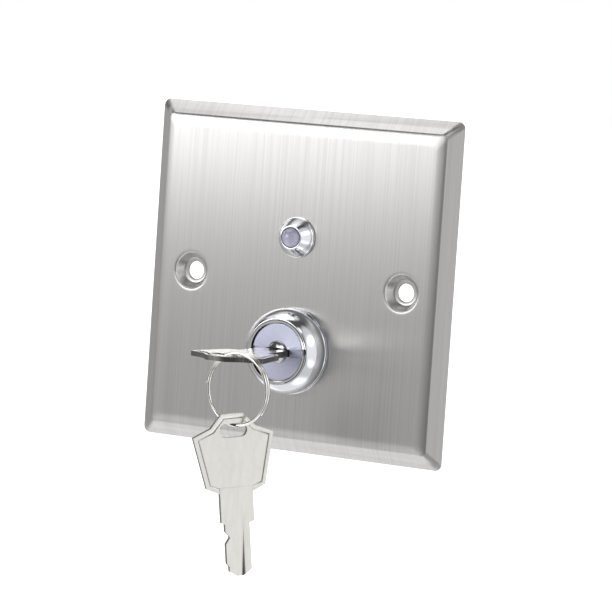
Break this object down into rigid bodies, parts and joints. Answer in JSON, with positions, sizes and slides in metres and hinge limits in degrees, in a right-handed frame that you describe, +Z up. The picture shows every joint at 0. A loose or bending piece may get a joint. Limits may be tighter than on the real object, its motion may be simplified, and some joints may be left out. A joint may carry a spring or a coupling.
{
  "type": "selector key switch",
  "caption": "Square stainless wall plate with a domed chrome key lock, an indicator lamp above it, and keys on a split ring; the lock turns a rotary changeover switch.",
  "frame": {"origin": "middle of the two fixing screw holes, on the wall plane behind the plate", "axes": "+Z up, -Y out of the wall towards the user, +X to the user's right"},
  "size_m": [0.086, 0.0791, 0.113],
  "materials": {
    "brushed_stainless": "vertical brushed grain",
    "chrome_plated_zinc": "polished chrome plate",
    "nickel_plated_brass": "bright nickel on turned brass",
    "zinc_plated_steel": "bright zinc plate",
    "turned_brass": "turned brass",
    "satin_chrome": "satin chrome, slightly blue",
    "spring_steel": "oiled spring steel",
    "black_nylon": "moulded glass-filled nylon",
    "black_oxide_steel": "black oxide",
    "white_acetal": "moulded acetal",
    "silvered_copper": "silver-plated copper",
    "bearing_steel": "polished steel",
    "grey_phenolic": "moulded phenolic",
    "frosted_epoxy": "frosted lavender-grey epoxy",
    "tinned_steel": "tinned",
    "green_laminate": "solder mask on glass laminate",
    "resistor_lacquer": "lacquered film resistor",
    "green_nylon": "moulded nylon",
    "nickel_plated_key": "bright nickel plate",
    "nickel_plated_wire": "bright nickel plate"
  },
  "bodies": {
    "frame": {"faceplate": "brushed_stainless", "lock_collar": "chrome_plated_zinc", "lock_housing": "nickel_plated_brass", "tooth_washer": "zinc_plated_steel", "lock_nut": "nickel_plated_brass", "switch_case": "black_nylon", "case_grub_screws": "black_oxide_steel", "switch_cover": "grey_phenolic", "cover_screws": "zinc_plated_steel", "terminal_common": "silvered_copper", "terminal_on": "silvered_copper", "terminal_off": "silvered_copper", "terminal_screws": "zinc_plated_steel", "detent_spring": "spring_steel", "led_bezel": "chrome_plated_zinc", "led_nut": "nickel_plated_brass", "led_lens": "frosted_epoxy", "led_holder": "black_nylon", "led_leads": "tinned_steel", "lamp_board": "green_laminate", "board_resistor": "resistor_lacquer", "terminal_block": "green_nylon", "block_screws": "zinc_plated_steel"},
    "plug": {"lock_plug": "turned_brass", "plug_cap": "satin_chrome", "plug_clip": "spring_steel", "wafer_springs": "spring_steel", "switch_rotor": "white_acetal", "contact_bridge": "silvered_copper", "bridge_spring": "spring_steel"},
    "wafers": {"wafer_tumblers": "turned_brass"},
    "key": {"key_inserted": "nickel_plated_key"},
    "ring": {"split_ring": "nickel_plated_wire"},
    "spare_key": {"key_spare": "nickel_plated_key"},
    "detent": {"detent_ball": "bearing_steel"}
  },
  "joints": [
    {"name": "plug_turn", "type": "hinge", "parent": "frame", "child": "plug", "pos_m": [0, -0.00945, -0.0174], "axis": [0, 1, 0], "range_deg": [-90, 0]},
    {"name": "wafer_drop", "type": "slide", "parent": "plug", "child": "wafers", "axis": [1, 0, 0], "range_m": [0, 0.0006]},
    {"name": "key_slide", "type": "slide", "parent": "plug", "child": "key", "axis": [0, -1, 0], "range_m": [0, 0.016]},
    {"name": "ring_swing", "type": "hinge", "parent": "key", "child": "ring", "pos_m": [0.0048, -0.03645, -0.01585], "axis": [0.9945, -0.1045, 0], "range_deg": [-5, 18]},
    {"name": "spare_key_swing", "type": "hinge", "parent": "ring", "child": "spare_key", "pos_m": [0.0048, -0.03645, -0.0246], "axis": [-0.1045, -0.9945, 0], "range_deg": [-40, 40]},
    {"name": "detent_travel", "type": "slide", "parent": "frame", "child": "detent", "axis": [0, 0, 1], "range_m": [0, 0.0005], "stiffness_N_per_m": 200, "springref_m": 0.0005}
  ],
  "couplings": [
    {"joint": "wafer_drop", "follows": "key_slide", "ratio": 0.0375}
  ]
}
